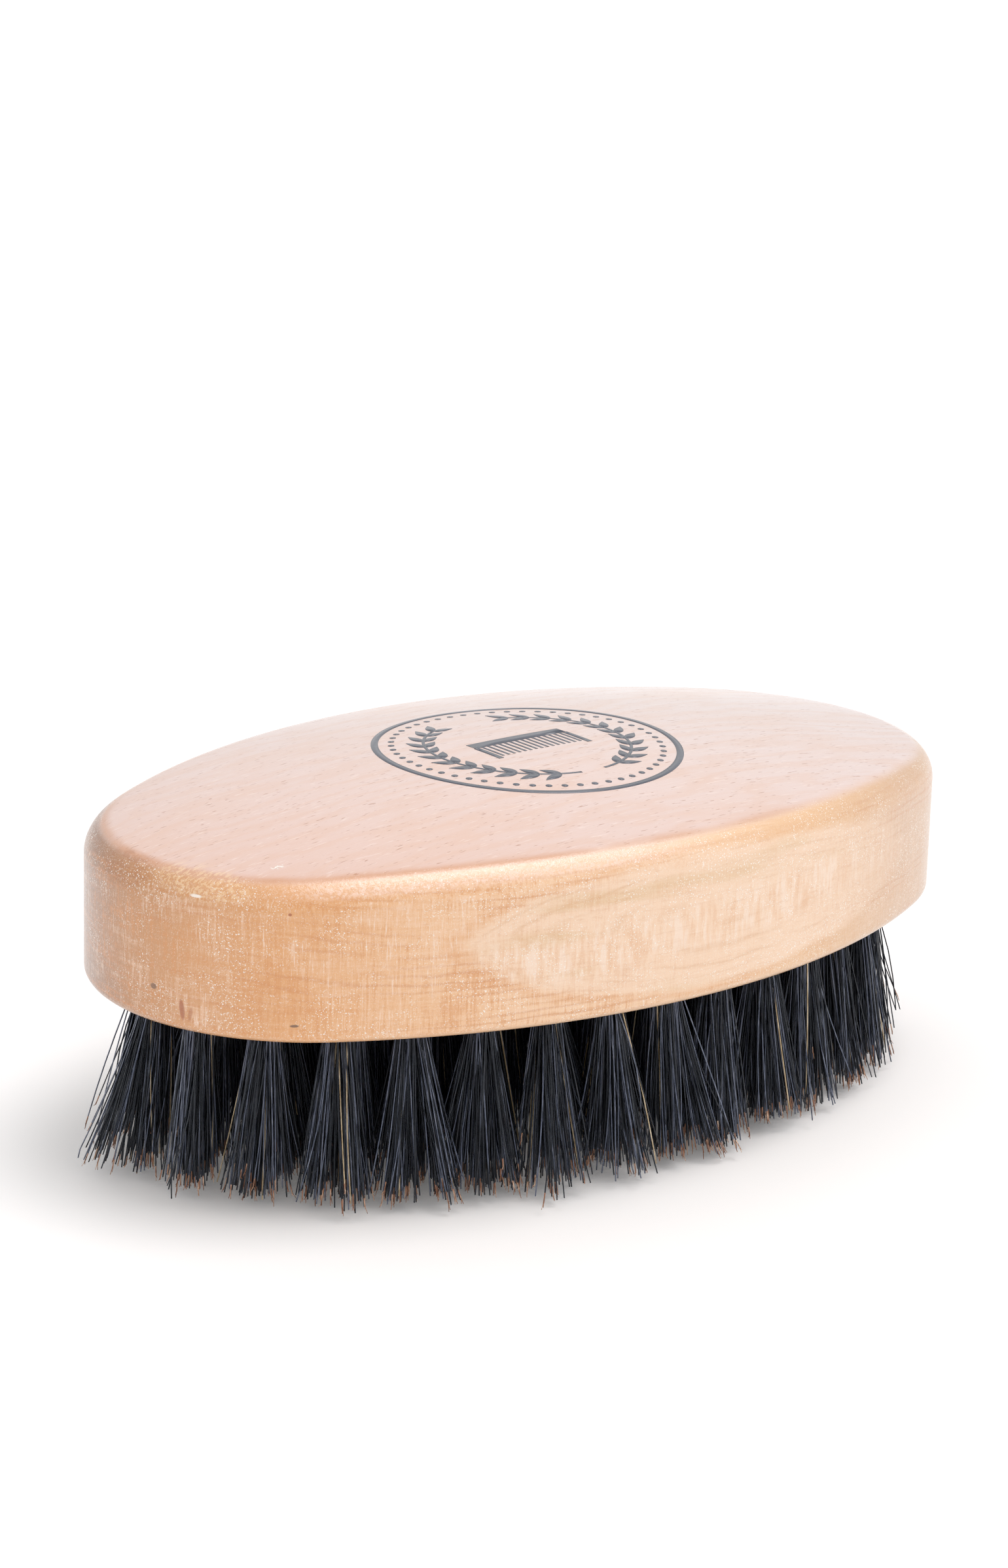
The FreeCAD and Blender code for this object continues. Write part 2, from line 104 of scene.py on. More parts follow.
# The printed mark: a ring, a ring of beads, a wreath and a comb.
INK_THICKNESS = 0.03
MARK_RADIUS, MARK_RING_WIDTH = 19.4, 0.9
BEADS, BEAD_RING_RADIUS, BEAD_RADIUS = 54, 16.9, 0.42
WREATH_RADIUS, STEM_HALF_WIDTH, LEAF_WIDTH = 12.9, 0.2, 1.25
STEM_ANGLES, LEAF_ANGLES = (-82, 62), range(-70, 66, 12)
LEAVES = ((-0.62, 3.3), (0.62, 2.9))
ALONG_LEAF = np.linspace(0.02, 0.98, 9)
COMB_BACK_LENGTH, COMB_BACK_WIDTH, COMB_BACK_HEIGHT = 14.4, 1.9, 2.2
COMB_TEETH, COMB_PITCH, TEETH_START = 17, 0.875, 1.3
GUARD_TOOTH, INNER_TOOTH = (5.0, 0.75), (4.3, 0.36)

# The pale lens of figure in the grain of the long sides.
LENS_X, LENS_Z, LENS_SHEAR = 1.0, 32.4, 0.12
LENS_LEFT, LENS_RIGHT, LENS_HALF_HEIGHT = 32.0, 38.0, 8.4
LENS_EDGE = 1.12

# The side's colour changes along a level line that is turned from the brush's length to run across the
# camera's view: partly the wood's tone, and partly painted shade that darkens the end on the camera's left
# and lightens towards its right.
TONE_SHADE_ALONG, TONE_SHADE_ACROSS, TONE_SHADE_LENGTH = 0.774, 0.634, 104.0

# The room, and the camera, whose distance and clipping are in metres.
FLOOR_HALF_SIDE, FLOOR_GAP, FLOOR_GLOW = 6000.0, 0.1, 0.10
TENT_LIGHT, TENT_SEEN = 0.78, 1.0
KEY_STRENGTH, KEY_ANGLE = 1.25, 28
KEY_COLOUR = (1.0, 0.96, 0.95)
KEY_TOWARDS = (0.24, -0.13, 0.95)
CAMERA_AZIMUTH, CAMERA_ELEVATION, CAMERA_DISTANCE = 39.32, 17.06, 0.5
CAMERA_ROLL, CAMERA_TILT, CAMERA_PAN = -1.719, 0.880, 0.317
CAMERA_TARGET = (0, 0, 0.032)
CAMERA_LENS, SENSOR_WIDTH = 92.05, 36.0
CLIP_START, CLIP_END = 0.02, 50.0

random = np.random.default_rng(41)


# ---------------------------------------------------------------- materials


def srgb(red, green, blue):
    """A colour given as 0-255 display values, as the linear colour that a shader takes."""

    def linear(value):
        value /= 255
        return value / 12.92 if value <= 0.04045 else ((value + 0.055) / 1.055) ** 2.4

    return (linear(red), linear(green), linear(blue), 1.0)


class Field:
    """A number that varies over a surface, so that a pattern in a material reads as a formula."""

    def __init__(self, tree, socket):
        self.tree = tree
        self.socket = socket

    def apply(self, operation, *others):
        node = self.tree.nodes.new("ShaderNodeMath")
        node.operation = operation
        for place, value in zip(node.inputs, (self, *others)):
            if isinstance(value, Field):
                self.tree.links.new(value.socket, place)
            else:
                place.default_value = value
        return Field(self.tree, node.outputs[0])

    def __add__(self, other):
        return self.apply("ADD", other)

    def __sub__(self, other):
        return self.apply("SUBTRACT", other)

    def __mul__(self, other):
        return self.apply("MULTIPLY", other)

    def __truediv__(self, other):
        return self.apply("DIVIDE", other)

    def power(self, other):
        return self.apply("POWER", other)

    def sine(self):
        return self.apply("SINE")

    def size(self):
        return self.apply("ABSOLUTE")

    def least(self, other):
        return self.apply("MINIMUM", other)

    def most(self, other):
        return self.apply("MAXIMUM", other)

    def flip(self):
        return self.apply("MULTIPLY_ADD", -1.0, 1.0)

    def step(self, low, high):
        """0 below low and 1 above high with a smooth rise between, or a fall where low is above high."""
        node = self.tree.nodes.new("ShaderNodeMapRange")
        node.interpolation_type = "SMOOTHSTEP"
        node.inputs["From Min"].default_value = low
        node.inputs["From Max"].default_value = high
        self.tree.links.new(self.socket, node.inputs["Value"])
        return Field(self.tree, node.outputs["Result"])


class Surface:
    """A node material under construction: places on the piece in millimetres, patterns and colours."""

    def __init__(self, name):
        self.material = bpy.data.materials.new(name)
        self.material.use_nodes = True
        self.tree = self.material.node_tree
        self.shader = self.tree.nodes["Principled BSDF"]
        place = self.tree.nodes.new("ShaderNodeTexCoord")
        self.place = self.scaled(place.outputs["Object"], (1 / MM, 1 / MM, 1 / MM))
        self.x, self.y, self.z = self.split(self.place)

    def scaled(self, vector, factors):
        node = self.tree.nodes.new("ShaderNodeVectorMath")
        node.operation = "MULTIPLY"
        node.inputs[1].default_value = factors
        self.tree.links.new(vector, node.inputs[0])
        return node.outputs[0]

    def moved(self, frequency, shift):
        """The place with each axis stretched by frequency, then shifted."""
        node = self.tree.nodes.new("ShaderNodeVectorMath")
        node.operation = "ADD"
        node.inputs[1].default_value = shift
        self.tree.links.new(self.scaled(self.place, frequency), node.inputs[0])
        return node.outputs[0]

    def split(self, vector):
        node = self.tree.nodes.new("ShaderNodeSeparateXYZ")
        self.tree.links.new(vector, node.inputs[0])
        return tuple(Field(self.tree, node.outputs[axis]) for axis in range(3))

    def upward(self):
        """How far the surface faces up: 1 on top, 0 on the side, -1 below."""
        node = self.tree.nodes.new("ShaderNodeNewGeometry")
        return self.split(node.outputs["Normal"])[2]

    def noise(self, frequency, detail=2.0, roughness=0.5, shift=(0, 0, 0)):
        """Noise about 0.5, with frequency given for each axis in cycles per millimetre."""
        node = self.tree.nodes.new("ShaderNodeTexNoise")
        node.inputs["Scale"].default_value = 1.0
        node.inputs["Detail"].default_value = detail
        node.inputs["Roughness"].default_value = roughness
        self.tree.links.new(self.moved(frequency, shift), node.inputs["Vector"])
        return Field(self.tree, node.outputs["Fac"])

    def spots(self, frequency):
        """Distance from the nearest of a scatter of points, with frequency as in noise()."""
        node = self.tree.nodes.new("ShaderNodeTexVoronoi")
        node.inputs["Scale"].default_value = 1.0
        self.tree.links.new(self.moved(frequency, (0, 0, 0)), node.inputs["Vector"])
        return Field(self.tree, node.outputs["Distance"])

    def ramp(self, field, stops):
        node = self.tree.nodes.new("ShaderNodeValToRGB")
        elements = node.color_ramp.elements
        while len(elements) < len(stops):
            elements.new(0.5)
        for element, (position, colour) in zip(elements, stops):
            element.position = position
            element.color = colour
        self.tree.links.new(field.socket, node.inputs["Fac"])
        return node.outputs["Color"]

    def mix(self, share, first, second):
        """first where share is 0 and second where it is 1; each is a colour or a colour socket."""
        node = self.tree.nodes.new("ShaderNodeMix")
        node.data_type = "RGBA"
        factor, colour_a, colour_b = node.inputs[0], node.inputs[6], node.inputs[7]
        self.tree.links.new(share.socket, factor)
        for place, colour in ((colour_a, first), (colour_b, second)):
            if isinstance(colour, tuple):
                place.default_value = colour
            else:
                self.tree.links.new(colour, place)
        return node.outputs[2]

    def finish(self, colour, roughness, height, relief, **fixed):
        """Connects colour, roughness and bump (relief is in millimetres) and sets the other inputs."""
        self.tree.links.new(colour, self.shader.inputs["Base Color"])
        self.tree.links.new(roughness.socket, self.shader.inputs["Roughness"])
        bump = self.tree.nodes.new("ShaderNodeBump")
        bump.inputs["Strength"].default_value = 1.0
        bump.inputs["Distance"].default_value = relief * MM
        self.tree.links.new(height.socket, bump.inputs["Height"])
        self.tree.links.new(bump.outputs["Normal"], self.shader.inputs["Normal"])
        self.tree.links.new(bump.outputs["Normal"], self.shader.inputs["Coat Normal"])
        for name, value in fixed.items():
            self.shader.inputs[name.replace("_", " ")].default_value = value
        return self.material


def near(surface, centre, reach, lean=0.0):
    """1 in a small ellipsoid of the piece and 0 outside it; lean tips it in the XZ plane."""
    x, y, z = surface.x - centre[0], surface.y - centre[1], surface.z - centre[2]
    leaning = x + z * lean
    distance = (leaning / reach[0]).power(2.0) + (y / reach[1]).power(2.0) + (z / reach[2]).power(2.0)
    return distance.step(1.0, 0.35)


def waves(field):
    """0 to 1 and back for each unit of the field."""
    return (field * (2 * math.pi)).sine() * 0.5 + 0.5


def lens_of_figure(s, side):
    """The pale figure on the long side, its tip to the left: distance from its middle, and its share."""
    warp = (s.noise((0.05, 0.05, 0.14), 2.0, shift=(9, 2, 0)) - 0.5) * 0.6
    from_middle = s.x - LENS_X - (s.y + HALF_WIDE) * LENS_SHEAR
    along = from_middle.least(0.0) / LENS_LEFT + from_middle.most(0.0) / LENS_RIGHT
    distance = along.power(2.0) + ((s.z - LENS_Z) / LENS_HALF_HEIGHT).power(2.0) + warp
    open_end = from_middle.step(LENS_RIGHT, 14.0) * 0.7 + 0.3
    return distance, distance.step(LENS_EDGE, 0.86) * side * open_end


def side_ground_and_painted_shade(s):
    """The colour under the figure: brown, then honey, then cream, from one end to the other; partly the
    wood's tone and partly painted shade, darkest towards the camera's left.
    """
    drift = s.noise((0.02, 0.03, 0.05), 2.0, shift=(3, 1, 7))
    across = s.x * TONE_SHADE_ALONG - s.y * TONE_SHADE_ACROSS + (drift - 0.5) * 10.0
    return s.ramp(
        across / TONE_SHADE_LENGTH + 0.5,
        [
            (0.015, srgb(150, 104, 72)),
            (0.07, srgb(194, 138, 90)),
            (0.15, srgb(218, 162, 114)),
            (0.25, srgb(229, 170, 116)),
            (0.40, srgb(240, 192, 148)),
            (0.58, srgb(246, 207, 170)),
            (0.72, srgb(244, 204, 165)),
            (0.84, srgb(236, 193, 150)),
            (0.96, srgb(218, 178, 142)),
        ],
    )


def growth_rings(s, side, colour, lens_distance, lens):
    """The lens of figure, and the darker growth rings round it and inside it."""
    colour = s.mix(lens * 0.80, colour, srgb(248, 216, 188))
    rim = (lens_distance - LENS_EDGE).size().step(0.16, 0.02) * side * s.x.step(24.0, 4.0)
    colour = s.mix(rim * 0.30, colour, srgb(226, 166, 116))
    tan_band = s.noise((0.035, 0.035, 0.22), 2.0, 0.5, shift=(2, 7, 5)).step(0.52, 0.66)
    colour = s.mix(tan_band * lens * 0.60, colour, srgb(228, 192, 148))

    wander = s.noise((0.014, 0.025, 0.08), 3.0, shift=(0, 5, 2)) * 6.0
    rings = waves(s.z + s.x * 0.012 + wander + s.noise((0.08, 0.6, 0.9), 2.0) * 0.7)
    groups = s.noise((0.035, 0.06, 0.35), 2.0, shift=(4, 4, 4)).step(0.36, 0.62)
    quiet = s.z.step(29.0, 24.0) * s.x.step(-16.0, 4.0) * 0.7
    ring_share = rings.power(4.0) * groups * quiet.flip() * side * lens.flip()
    colour = s.mix(ring_share * 0.46, colour, srgb(204, 134, 82))
    lens_rings = waves(lens_distance * 4.6 + wander * 0.3).power(5.0)
    lens_groups = s.noise((0.06, 0.1, 0.35), 2.0, shift=(1, 8, 4)).step(0.42, 0.62)
    return s.mix(lens_rings * lens_groups * side * lens * 0.30, colour, srgb(216, 164, 114))


def woven_rays(s, side, colour, lens):
    """The woven look of the wood's rays, strongest at the left: colour and the share of pale streaks."""
    left = (s.x + s.y * 0.3).step(5.0, -35.0) * 0.55 + 0.45
    upright = s.noise((2.4, 2.4, 0.16), 3.0, 0.7, shift=(2, 0, 3))
    fine_upright = s.noise((5.0, 5.0, 0.40), 2.0, 0.6, shift=(0, 3, 1))
    level = s.noise((0.11, 0.11, 1.7), 3.0, 0.6, shift=(6, 1, 2))
    patches = s.noise((0.10, 0.10, 0.13), 2.0, 0.6, shift=(6, 0, 0))
    weave = upright * 0.46 + fine_upright * 0.34 + level * 0.34 + patches * 0.31
    strength = left * side * (lens.flip() * 0.6 + 0.4)
    colour = s.mix(weave.step(0.72, 0.92) * strength * 0.55, colour, srgb(248, 212, 184))
    colour = s.mix(weave.step(0.75, 0.58) * strength * 0.62, colour, srgb(218, 148, 88))

    bars = s.noise((1.3, 1.3, 0.22), 2.0, 0.6, shift=(2, 5, 3))
    band = (s.z - 31.5 - s.x * 0.06).size().step(4.2, 1.2) * lens
    colour = s.mix(bars.step(0.50, 0.66) * band * 0.36, colour, srgb(230, 176, 130))
    colour = s.mix(bars.step(0.50, 0.36) * band * 0.55, colour, srgb(252, 230, 212))
    end_bars = s.noise((1.6, 1.6, 0.12), 2.0, 0.6, shift=(8, 5, 3))
    right_end = s.x.step(18.0, 46.0) * side
    colour = s.mix(end_bars.step(0.50, 0.70) * right_end * 0.30, colour, srgb(232, 188, 146))

    streaks = fine_upright.step(0.60, 0.70) * patches.step(0.46, 0.60)
    return s.mix(streaks * strength * 0.45, colour, srgb(255, 234, 218)), streaks


def side_colours(s, side):
    lens_distance, lens = lens_of_figure(s, side)
    colour = growth_rings(s, side, side_ground_and_painted_shade(s), lens_distance, lens)
    return woven_rays(s, side, colour, lens)


def top_colours(s):
    """Pinkish cream, partly painted sheen that pales it towards lavender at the +X end, with a faint wavy
    figure and small dark pores along the brush: colour and pores.
    """
    bend = s.noise((0.02, 0.05, 0.02), 3.0, shift=(5, 0, 0)) * 7.0
    figure = waves(s.y * 0.26 + bend + s.noise((0.1, 0.5, 0.3), 3.0, 0.6, shift=(3, 3, 0)) * 1.6)
    along = s.x / (2 * HALF_LONG) + 0.5 + s.y * 0.006
    # Painted sheen: the cream ground is paled and cooled towards pinkish lavender, most at the +X end,
    # standing in for the varnish's reflection of the bright room.
    ground_and_painted_sheen = s.ramp(
        along, [(0.0, srgb(230, 199, 188)), (0.35, srgb(232, 208, 202)), (1.0, srgb(234, 218, 216))]
    )
    colour = s.mix(figure.power(2.0) * 0.32, ground_and_painted_sheen, srgb(226, 184, 160))
    blotches = s.noise((0.045, 0.09, 0.05), 3.0, 0.6, shift=(0, 0, 8))
    colour = s.mix(blotches.step(0.46, 0.74) * 0.35, colour, srgb(230, 190, 168))
    fibres = s.noise((0.16, 4.5, 1.0), 3.0, 0.65, shift=(4, 2, 0))
    colour = s.mix(fibres.step(0.50, 0.70) * 0.22, colour, srgb(222, 180, 158))
    dashes = s.noise((0.7, 4.4, 1.6), 1.0, 0.5, shift=(1, 1, 1)).step(0.67, 0.76)
    colour = s.mix(dashes * 0.75, colour, srgb(176, 122, 98))
    pale_dashes = s.noise((0.5, 3.6, 1.6), 1.0, 0.5, shift=(8, 1, 1)).step(0.62, 0.76)
    return s.mix(pale_dashes * 0.5, colour, srgb(250, 232, 224)), dashes


def shoulder_painted_light(s, colour, upward, fibres):
    """Painted light on the round-over: an orange line of painted shade under the dome's edge, a painted
    highlight with sparkles on the front, and at one end a brown patch of painted shade and a painted glow.
    """
    # Painted shade: a darker orange line, in patches, where the round-over turns down from the top, on the
    # front part only.
    patch = s.noise((0.05, 0.07, 0.08), 3.0, shift=(2, 2, 5)).step(0.34, 0.60)
    front = s.x.step(34.0, -6.0)
    painted_shade_line = (upward - 0.90).size().step(0.10, 0.0)
    colour = s.mix(painted_shade_line * patch * front * 0.62, colour, srgb(204, 140, 92))
    # Painted highlight: pinkish white with sparkles on the front of the round-over, where the key light
    # reflects.
    highlight_sparkle = s.noise((2.3, 2.3, 2.3), 3.0, 0.75, shift=(4, 1, 6)).step(0.44, 0.60)
    reach = s.x.step(-54.0, -44.0) * s.x.step(6.0, -14.0) * s.y.step(-8.0, -16.0)
    turn = (upward - 0.66).size().step(0.30, 0.06) * reach
    colour = s.mix(turn * (highlight_sparkle * 0.75 + 0.25) * 0.68, colour, srgb(255, 224, 208))
    # Painted shade: a brown patch with golden streaks on the round-over of the end that the light reaches
    # least.
    left_end_painted_shade = near(s, (-59.6, 0.5, 40.2), (3.0, 6.5, 3.4))
    golden = s.noise((0.35, 0.6, 3.4), 2.0, 0.6, shift=(9, 9, 9))
    colour = s.mix(left_end_painted_shade * golden.step(0.36, 0.62) * 0.52, colour, srgb(172, 112, 70))
    # Painted highlight: a pale glow on the round-over at the front corner of that end.
    glow = near(s, (-56.3, -11.5, 39.9), (5.0, 9.0, 2.0))
    return s.mix(glow * fibres.step(0.46, 0.60) * 0.45, colour, srgb(255, 226, 184))


def small_marks(s, colour):
    """A knot sliver, three dark flecks, a scratch in the varnish and a nick: colour and the dents."""
    brown, dark, white = srgb(168, 92, 56), srgb(92, 70, 60), srgb(255, 246, 236)
    flecks = [
        ((-58.1, -9.9, 24.9), (0.26, 0.5, 1.7), 0.12, 0.75, brown),
        ((-57.6, -10.9, 24.6), (0.20, 0.4, 1.2), -0.15, 0.45, brown),
        ((-59.3, -5.9, 26.8), (0.7, 0.55, 0.42), 0.0, 0.7, dark),
        ((-50.0, -20.7, 24.4), (0.62, 0.6, 0.20), -0.5, 0.8, dark),
        ((-50.5, -20.3, 37.7), (0.22, 0.3, 0.22), 0.0, 0.8, brown),
    ]
    for centre, reach, lean, share, tint in flecks:
        colour = s.mix(near(s, centre, reach, lean) * share, colour, tint)
    scratch = near(s, (-57.5, -11.3, 38.7), (1.1, 1.0, 0.24))
    nick = near(s, (-48.4, -14.8, 41.9), (1.0, 0.7, 1.5)) * s.noise((2.0, 2.0, 2.0), 2.0).step(0.46, 0.54)
    dents = scratch.most(nick)
    return s.mix(dents * 0.85, colour, white), dents


def wood_material():
    s = Surface("varnished_beech")
    upward = s.upward()
    side = upward.size().step(0.80, 0.30)
    on_top = upward.step(0.74, 0.985)

    colour, streaks = side_colours(s, side)
    fibres = s.noise((0.10, 3.2, 3.2), 3.0, 0.6)
    colour = s.mix(fibres.step(0.52, 0.76) * 0.26, colour, srgb(210, 154, 108))
    colour = s.mix(fibres.step(0.46, 0.24) * 0.26, colour, srgb(252, 226, 204))
    top_colour, dashes = top_colours(s)
    colour = s.mix(on_top * 0.92, colour, top_colour)
    colour = shoulder_painted_light(s, colour, upward, fibres)

    # Painted sparkle: near-white specks and glints on the sides and edges stand in for glints of light; the
    # speck noise also roughens and bumps the varnish.
    specks = s.noise((7.5, 7.5, 6.0), 2.0, 0.7, shift=(3, 9, 4))
    painted_sparkle_share = specks.step(0.60, 0.70) * (on_top * 0.94).flip()
    colour = s.mix(painted_sparkle_share * 0.60, colour, srgb(255, 240, 226))
    fine_glints = s.spots((3.6, 3.6, 3.6)).step(0.30, 0.12)
    glints = fine_glints.most(s.spots((1.7, 1.7, 2.0)).step(0.22, 0.10))
    glint_patches = s.noise((0.16, 0.16, 0.2), 3.0, 0.6, shift=(2, 2, 2)).step(0.42, 0.58)
    colour = s.mix(glints * glint_patches * (on_top * 0.97).flip() * 0.85, colour, srgb(255, 248, 240))
    colour, dents = small_marks(s, colour)

    # A thin painted highlight lightens the bottom edge, and the underside is duller and paler.
    bottom_edge_highlight = s.z.step(UNDERSIDE + 0.9, UNDERSIDE + 0.3) * side
    colour = s.mix(bottom_edge_highlight * 0.5, colour, srgb(250, 220, 192))
    below = upward.step(-0.80, -0.98)
    colour = s.mix(below * 0.45, colour, srgb(226, 184, 148))

    rough_skin = on_top.flip() * 0.8 + 0.2
    roughness = fibres * 0.10 + specks * 0.14 + 0.20 + below * 0.25
    orange_peel = s.noise((2.6, 2.6, 2.6), 3.0, 0.7, shift=(7, 7, 7))
    height = (specks * 0.9 + orange_peel * 1.6 + streaks * 0.2) * rough_skin
    height = height + fibres * 0.25 - dashes * on_top * 0.4 - dents
    return s.finish(
        colour, roughness, height, 0.034,
        Coat_Weight=0.75, Coat_Roughness=0.13, Coat_IOR=1.5, IOR=1.42,
    )


def ink_material():
    s = Surface("slate_ink")
    grain = s.noise((0.8, 5.0, 2.0), 3.0, 0.65)
    mottle = s.noise((0.35, 0.5, 0.3), 3.0, 0.6, shift=(2, 0, 0))
    colour = s.mix(mottle, srgb(70, 75, 87), srgb(96, 100, 112))
    colour = s.mix(grain.step(0.62, 0.74) * 0.5, colour, srgb(150, 140, 138))
    roughness = grain * 0.2 + 0.25
    return s.finish(colour, roughness, grain, 0.006, Coat_Weight=0.5, Coat_Roughness=0.13, Coat_IOR=1.5)


def bristle_material(name, stops, roughness_low, **fixed):
    """Colours change from hair to hair, since the pattern is fine across a hair and long along it."""
    s = Surface(name)
    hair = s.noise((2.6, 2.6, 0.05), 2.0, 0.7)
    colour = s.ramp(hair, stops)
    gloss = s.noise((3.4, 3.4, 0.12), 2.0, 0.7, shift=(5, 5, 0))
    scales = s.noise((3.0, 3.0, 4.0), 2.0, 0.6, shift=(5, 5, 0))
    roughness = gloss.step(0.38, 0.62) * 0.34 + scales * 0.10 + roughness_low
    return s.finish(colour, roughness, scales, 0.01, **fixed)


def bristle_materials():
    black = bristle_material(
        "bristle_black",
        [(0.34, srgb(9, 9, 13)), (0.52, srgb(20, 21, 28)), (0.70, srgb(40, 37, 40))],
        0.18,
        IOR=1.62,
        Specular_Tint=(0.80, 0.88, 1.0, 1.0),
    )
    # Painted sheen: pale blue-grey hairs standing in for the highlights on black bristles.
    sheen_hair = bristle_material(
        "bristle_painted_sheen",
        [(0.34, srgb(48, 53, 68)), (0.52, srgb(86, 93, 114)), (0.70, srgb(124, 129, 145))],
        0.14,
        IOR=1.9,
        Specular_Tint=(0.84, 0.90, 1.0, 1.0),
    )
    pale = bristle_material(
        "bristle_pale",
        [(0.30, srgb(164, 140, 104)), (0.50, srgb(214, 192, 156)), (0.70, srgb(244, 232, 208))],
        0.30,
    )
    tip = bristle_material(
        "bristle_split_tip",
        [(0.30, srgb(92, 58, 44)), (0.50, srgb(170, 122, 96)), (0.68, srgb(236, 204, 178))],
        0.40,
    )
    return [black, sheen_hair, pale, tip]


def steel_material():
    s = Surface("staple_steel")
    drawn = s.noise((6.0, 6.0, 1.0), 3.0, 0.6)
    stain = s.noise((0.8, 0.8, 0.8), 2.0, 0.5)
    colour = s.mix(stain, srgb(176, 178, 182), srgb(208, 208, 206))
    return s.finish(colour, drawn * 0.25 + 0.22, drawn, 0.008, Metallic=1.0)


# ---------------------------------------------------------------- the wooden back


def add_mesh(name, points, faces, materials, material_of_face=None):
    """A smooth mesh object in metres, from points in millimetres."""
    mesh = bpy.data.meshes.new(name)
    mesh.from_pydata((np.asarray(points) * MM).tolist(), [], faces)
    for material in materials:
        mesh.materials.append(material)
    if material_of_face is not None:
        mesh.polygons.foreach_set("material_index", material_of_face)
    mesh.polygons.foreach_set("use_smooth", [True] * len(mesh.polygons))
    mesh.update()
    piece = bpy.data.objects.new(name, mesh)
    bpy.context.scene.collection.objects.link(piece)
    return piece


def place_piece(piece, node):
    """Makes the piece ride on the one body and stand for a CAD node."""
    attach(piece, "root")
    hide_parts(node)


def outline(count):
    """Points of the oval, an equal arc length apart, and the outward direction at each."""
    turn = math.atan2(SIDE_RADIUS - HALF_WIDE, HALF_LONG - END_RADIUS)
    arcs = [
        (HALF_LONG - END_RADIUS, 0.0, END_RADIUS, -turn, turn),
        (0.0, HALF_WIDE - SIDE_RADIUS, SIDE_RADIUS, turn, math.pi - turn),
        (END_RADIUS - HALF_LONG, 0.0, END_RADIUS, math.pi - turn, math.pi + turn),
        (0.0, SIDE_RADIUS - HALF_WIDE, SIDE_RADIUS, math.pi + turn, 2 * math.pi - turn),
    ]
    lengths = [radius * (stop - start) for _, _, radius, start, stop in arcs]
    points, outward = [], []
    for distance in np.arange(count) * sum(lengths) / count:
        index = 0
        while distance >= lengths[index]:
            distance -= lengths[index]
            index += 1
        x, y, radius, start, _ = arcs[index]
        angle = start + distance / radius
        direction = (math.cos(angle), math.sin(angle))
        points.append((x + radius * direction[0], y + radius * direction[1]))
        outward.append(direction)
    return np.array(points), np.array(outward)


def dome_height(x, y, depth=0.0):
    """Height of the domed top, or of the surface that lies depth under it."""
    reach = DOME_LONG - DOME_CROSS + np.sqrt((DOME_CROSS - depth) ** 2 - y**2)
    return TOP - DOME_LONG + np.sqrt(reach**2 - x**2)


def dome_direction(x, y, z):
    """The direction that the dome faces, above or below which the point lies."""
    swing = np.arctan2(x, z - (TOP - DOME_LONG))
    middle = DOME_LONG - DOME_CROSS
    away = np.stack([x - middle * np.sin(swing), y, z - (TOP - DOME_LONG) - middle * np.cos(swing)], axis=1)
    return away / np.linalg.norm(away, axis=1, keepdims=True)


def with_height(plan, height):
    return np.column_stack([plan, np.broadcast_to(height, len(plan))])


def turned_between(first, second, share):
    """The unit directions a share of the way from first to second."""
    angle = np.arccos(np.clip(np.sum(first * second, axis=1), -1, 1))[:, None]
    return (first * np.sin((1 - share) * angle) + second * np.sin(share * angle)) / np.sin(angle)


def back_rings():
    """Rings of points from the edge of the flat underside, up the side and over to the dome's middle."""
    plan, outward = outline(OUTLINE_POINTS)
    rings = [with_height(plan - BOTTOM_ROUND * outward, UNDERSIDE)]
    for angle in np.linspace(0, math.pi / 2, BOTTOM_RINGS + 1)[1:]:
        inset = BOTTOM_ROUND * (1 - math.sin(angle))
        rise = BOTTOM_ROUND * (1 - math.cos(angle))
        rings.append(with_height(plan - inset * outward, UNDERSIDE + rise))
    ball = plan - TOP_ROUND * outward
    ball_height = dome_height(ball[:, 0], ball[:, 1], TOP_ROUND)
    wall_foot = UNDERSIDE + BOTTOM_ROUND
    for share in np.linspace(0, 1, WALL_RINGS + 1)[1:]:
        rings.append(with_height(plan, wall_foot + share * (ball_height - wall_foot)))
    sideways = with_height(outward, 0.0)
    up = dome_direction(ball[:, 0], ball[:, 1], ball_height)
    for share in np.linspace(0, 1, SHOULDER_RINGS + 1)[1:]:
        rings.append(with_height(ball, ball_height) + TOP_ROUND * turned_between(sideways, up, share))
    rim = rings[-1][:, :2]
    for share in np.linspace(1, 0, DOME_RINGS, endpoint=False)[1:]:
        rings.append(with_height(rim * share, dome_height(rim[:, 0] * share, rim[:, 1] * share)))
    return rings


def ring_faces(ring_count, size):
    """Four-sided faces between rings of points that follow each other."""
    faces = []
    for low in range(0, (ring_count - 1) * size, size):
        high = low + size
        for k in range(size):
            after = (k + 1) % size
            faces.append((low + k, low + after, high + after, high + k))
    return faces


def drill(piece, seats):
    """Cuts one round blind hole for each tuft."""
    turn = np.arange(HOLE_SIDES) * 2 * math.pi / HOLE_SIDES
    circle = HOLE_RADIUS * np.column_stack([np.cos(turn), np.sin(turn)])
    points, faces = [], []
    for seat in seats:
        start = len(points)
        for height in (UNDERSIDE - 2.0, UNDERSIDE + HOLE_DEPTH):
            points.extend(with_height(circle + seat, height).tolist())
        side = ring_faces(2, HOLE_SIDES)
        faces.extend(tuple(start + corner for corner in face) for face in side)
        faces.append(tuple(start + k for k in reversed(range(HOLE_SIDES))))
        faces.append(tuple(start + HOLE_SIDES + k for k in range(HOLE_SIDES)))
    drills = add_mesh("drills", points, faces, [])
    cut = piece.modifiers.new("holes", "BOOLEAN")
    cut.operation = "DIFFERENCE"
    cut.solver = "EXACT"
    cut.object = drills
    graph = bpy.context.evaluated_depsgraph_get()
    drilled = bpy.data.meshes.new_from_object(piece.evaluated_get(graph))
    piece.modifiers.clear()
    piece.data = drilled
    bpy.data.objects.remove(drills)
    drilled.set_sharp_from_angle(angle=math.radians(SHARP_ANGLE))


